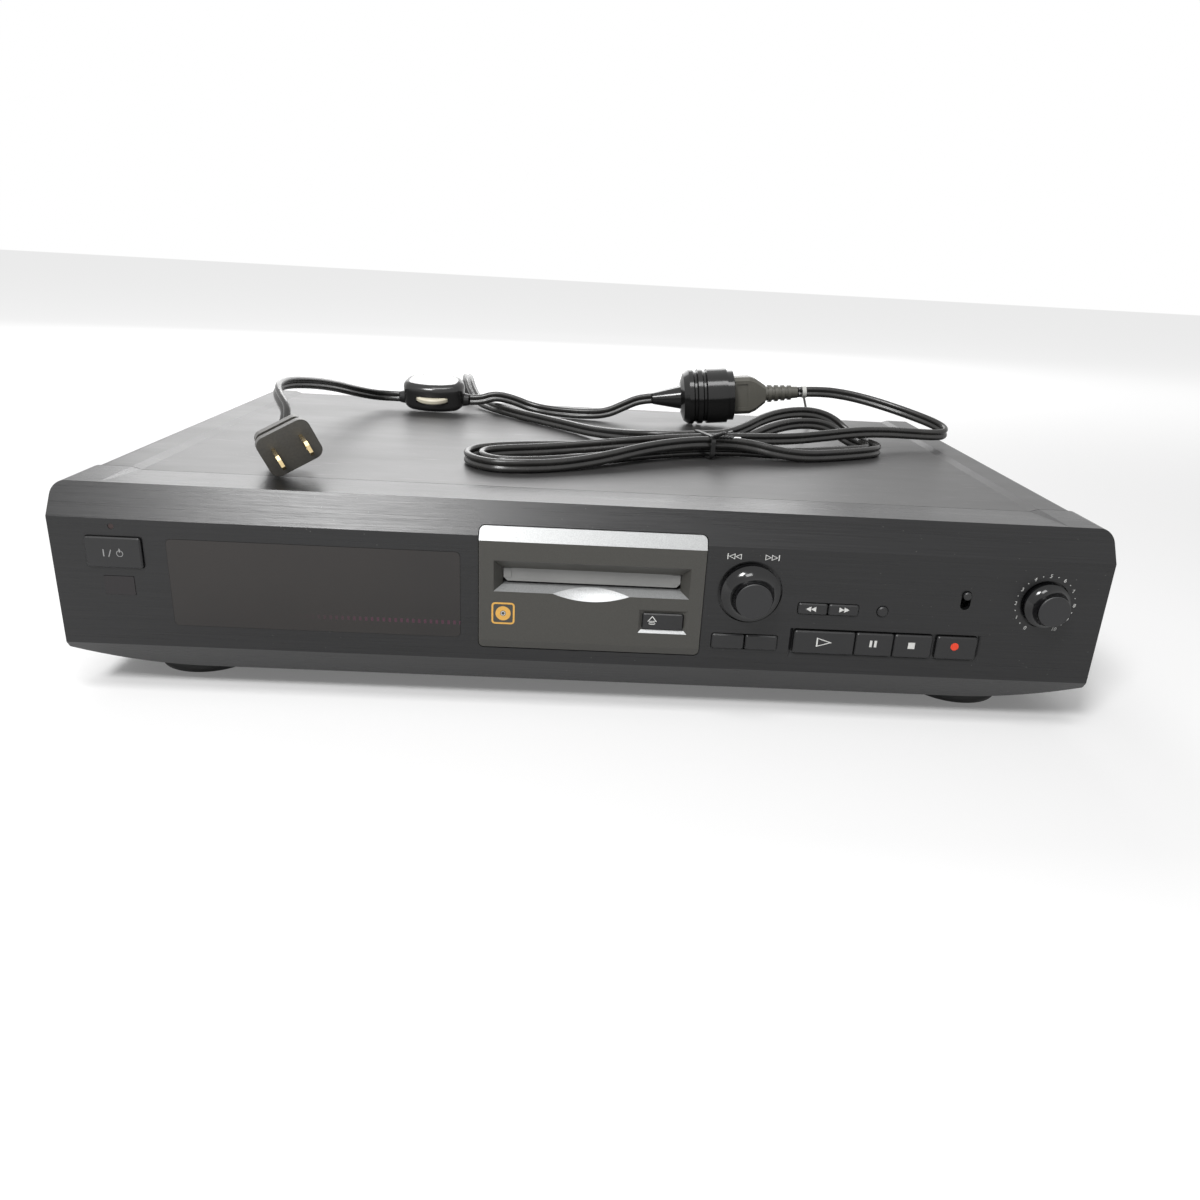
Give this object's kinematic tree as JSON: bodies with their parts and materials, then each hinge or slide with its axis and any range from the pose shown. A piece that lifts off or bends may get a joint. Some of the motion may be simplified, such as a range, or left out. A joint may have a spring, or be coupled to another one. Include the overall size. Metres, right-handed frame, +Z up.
{
  "type": "minidisc deck",
  "caption": "Full-width black minidisc deck with a slot and lid in the front, keys, jog and level knobs, and its mains leads laid on the cover.",
  "frame": {"origin": "centre of the case's footprint, with knobs and rear sockets, on the surface that the feet stand on", "axes": "+X to the right seen from the front, +Y to the rear, +Z up"},
  "size_m": [0.43, 0.3328, 0.1238],
  "materials": {
    "panel_black": "black injection-moulded front panel with fine horizontal brushing and a satin sheen",
    "smoke_window": "smoked brown-black acrylic, polished",
    "remote_red": "dark red infrared filter, polished",
    "lamp_red": "red indicator lens",
    "key_black": "black key caps, satin",
    "knob_black": "glossy black knobs",
    "bezel_grey": "dark warm grey moulding, satin",
    "lid_grey": "light grey moulding, satin",
    "cover_paint": "dark grey painted sheet steel with a fine texture",
    "zinc_steel": "zinc-plated sheet steel",
    "rear_paint": "black painted sheet steel",
    "screw_black": "blackened steel screws",
    "foot_plastic": "black moulded feet",
    "jack_metal": "plated phono sleeves on their block",
    "port_black": "black moulded connector shells",
    "board_green": "fibreglass circuit boards",
    "tube_glass": "display tube glass",
    "core_steel": "varnished transformer laminations",
    "part_black": "black moulded control bodies",
    "gear_white": "white acetal gears",
    "bright_steel": "pressed steel mechanism parts",
    "motor_can": "plated motor cans",
    "sled_zinc": "die-cast pickup sled",
    "cord_black": "glossy black twin flex",
    "plug_black": "black moulded plugs, socket and switch",
    "wheel_cream": "cream thumb wheel",
    "tie_black": "plastic-coated wire ties"
  },
  "bodies": {
    "deck": {"front_panel": "panel_black", "display_window": "smoke_window", "remote_window": "remote_red", "standby_lamp": "lamp_red", "slot_bezel": "bezel_grey", "top_cover": "cover_paint", "chassis": "zinc_steel", "rear_panel": "rear_paint", "feet": "foot_plastic", "case_screws": "screw_black", "line_jacks": "jack_metal", "optical_sockets": "port_black", "cord_bushing": "port_black", "mains_transformer": "core_steel", "main_board": "board_green", "front_boards": "board_green", "display_tube": "tube_glass", "jog_encoder": "part_black", "level_control": "part_black", "input_switch": "part_black", "tact_switches": "part_black", "mechanism_base": "bright_steel", "drive_motors": "motor_can", "spindle_motor": "motor_can", "guide_rods": "bright_steel", "deck_cord": "cord_black", "cord_hank": "cord_black", "plug_cord": "cord_black", "flat_plug": "plug_black", "lead_socket": "plug_black", "lead_cord": "cord_black", "inline_switch": "plug_black", "end_cord": "cord_black", "end_plug": "plug_black", "cord_ties": "tie_black"},
    "power_button": {"power_button": "key_black"},
    "eject_button": {"eject_button": "key_black"},
    "edit_button": {"edit_button": "key_black"},
    "yes_button": {"yes_button": "key_black"},
    "rewind_button": {"rewind_button": "key_black"},
    "forward_button": {"forward_button": "key_black"},
    "display_button": {"display_button": "key_black"},
    "play_button": {"play_button": "key_black"},
    "pause_button": {"pause_button": "key_black"},
    "stop_button": {"stop_button": "key_black"},
    "record_button": {"record_button": "key_black"},
    "slot_lid": {"slot_lid": "lid_grey"},
    "jog_shaft": {"jog_shaft": "bright_steel"},
    "jog_knob": {"jog_knob": "knob_black"},
    "level_knob": {"level_knob": "knob_black", "level_shaft": "bright_steel"},
    "input_lever": {"input_lever": "key_black"},
    "disc_holder": {"disc_holder": "bright_steel"},
    "loading_slider": {"loading_slider": "gear_white"},
    "loading_gear": {"loading_gear": "gear_white"},
    "turntable": {"turntable": "part_black"},
    "optical_pickup": {"optical_pickup": "sled_zinc"},
    "sled_gear": {"sled_gear": "gear_white"},
    "magnetic_head": {"magnetic_head": "bright_steel"},
    "switch_wheel": {"switch_wheel": "wheel_cream"}
  },
  "joints": [
    {"name": "power_press", "type": "slide", "parent": "deck", "child": "power_button", "axis": [0, 1, 0], "range_m": [0, 0.0008], "stiffness_N_per_m": 400},
    {"name": "eject_press", "type": "slide", "parent": "deck", "child": "eject_button", "axis": [0, 1, 0], "range_m": [0, 0.0008], "stiffness_N_per_m": 400},
    {"name": "edit_press", "type": "slide", "parent": "deck", "child": "edit_button", "axis": [0, 1, 0], "range_m": [0, 0.0008], "stiffness_N_per_m": 400},
    {"name": "yes_press", "type": "slide", "parent": "deck", "child": "yes_button", "axis": [0, 1, 0], "range_m": [0, 0.0008], "stiffness_N_per_m": 400},
    {"name": "rewind_press", "type": "slide", "parent": "deck", "child": "rewind_button", "axis": [0, 1, 0], "range_m": [0, 0.0008], "stiffness_N_per_m": 400},
    {"name": "forward_press", "type": "slide", "parent": "deck", "child": "forward_button", "axis": [0, 1, 0], "range_m": [0, 0.0008], "stiffness_N_per_m": 400},
    {"name": "display_press", "type": "slide", "parent": "deck", "child": "display_button", "axis": [0, 1, 0], "range_m": [0, 0.0008], "stiffness_N_per_m": 400},
    {"name": "play_press", "type": "slide", "parent": "deck", "child": "play_button", "axis": [0, 1, 0], "range_m": [0, 0.0008], "stiffness_N_per_m": 400},
    {"name": "pause_press", "type": "slide", "parent": "deck", "child": "pause_button", "axis": [0, 1, 0], "range_m": [0, 0.0008], "stiffness_N_per_m": 400},
    {"name": "stop_press", "type": "slide", "parent": "deck", "child": "stop_button", "axis": [0, 1, 0], "range_m": [0, 0.0008], "stiffness_N_per_m": 400},
    {"name": "record_press", "type": "slide", "parent": "deck", "child": "record_button", "axis": [0, 1, 0], "range_m": [0, 0.0008], "stiffness_N_per_m": 400},
    {"name": "lid_swing", "type": "hinge", "parent": "deck", "child": "slot_lid", "pos_m": [0.0011, -0.1254, 0.0637], "axis": [1, 0, 0], "range_deg": [0, 85], "stiffness_Nm_per_rad": 0.002, "springref_deg": -11.46},
    {"name": "jog_turn", "type": "hinge", "parent": "deck", "child": "jog_shaft", "pos_m": [0.066, -0.131, 0.0583], "axis": [0, 1, 0], "continuous": true},
    {"name": "jog_push", "type": "slide", "parent": "jog_shaft", "child": "jog_knob", "axis": [0, 1, 0], "range_m": [0, 0.0005], "stiffness_N_per_m": 600},
    {"name": "level_turn", "type": "hinge", "parent": "deck", "child": "level_knob", "pos_m": [0.1893, -0.131, 0.0586], "axis": [0, 1, 0], "range_deg": [-267, 33]},
    {"name": "input_slide", "type": "slide", "parent": "deck", "child": "input_lever", "axis": [0, 0, -1], "range_m": [0, 0.0043]},
    {"name": "holder_drop", "type": "slide", "parent": "deck", "child": "disc_holder", "axis": [0, 0, -1], "range_m": [0, 0.005]},
    {"name": "loading_slide", "type": "slide", "parent": "deck", "child": "loading_slider", "axis": [0, 1, 0], "range_m": [-0.0001, 0.0081]},
    {"name": "loading_gear_turn", "type": "hinge", "parent": "deck", "child": "loading_gear", "pos_m": [-0.046, -0.081, 0.0405], "axis": [1, 0, 0], "range_deg": [-78, 2]},
    {"name": "disc_spin", "type": "hinge", "parent": "deck", "child": "turntable", "pos_m": [0.0011, -0.077, 0.045], "axis": [0, 0, 1], "continuous": true},
    {"name": "pickup_travel", "type": "slide", "parent": "deck", "child": "optical_pickup", "axis": [0, 1, 0], "range_m": [0, 0.0165]},
    {"name": "sled_gear_turn", "type": "hinge", "parent": "deck", "child": "sled_gear", "pos_m": [0.0247, -0.051, 0.0425], "axis": [0, 0, 1], "range_deg": [-159, 2]},
    {"name": "head_lower", "type": "hinge", "parent": "optical_pickup", "child": "magnetic_head", "pos_m": [0.0011, -0.037, 0.0665], "axis": [1, 0, 0], "range_deg": [0, 12]},
    {"name": "wheel_turn", "type": "hinge", "parent": "deck", "child": "switch_wheel", "pos_m": [-0.099, 0.08981, 0.09858], "axis": [0, -0.2588, 0.9659], "range_deg": [0, 40]}
  ],
  "couplings": [
    {"joint": "loading_slide", "follows": "holder_drop", "ratio": 1.6},
    {"joint": "loading_gear_turn", "follows": "holder_drop", "rad_per_m": -266.67},
    {"joint": "sled_gear_turn", "follows": "pickup_travel", "rad_per_m": -166.67}
  ]
}
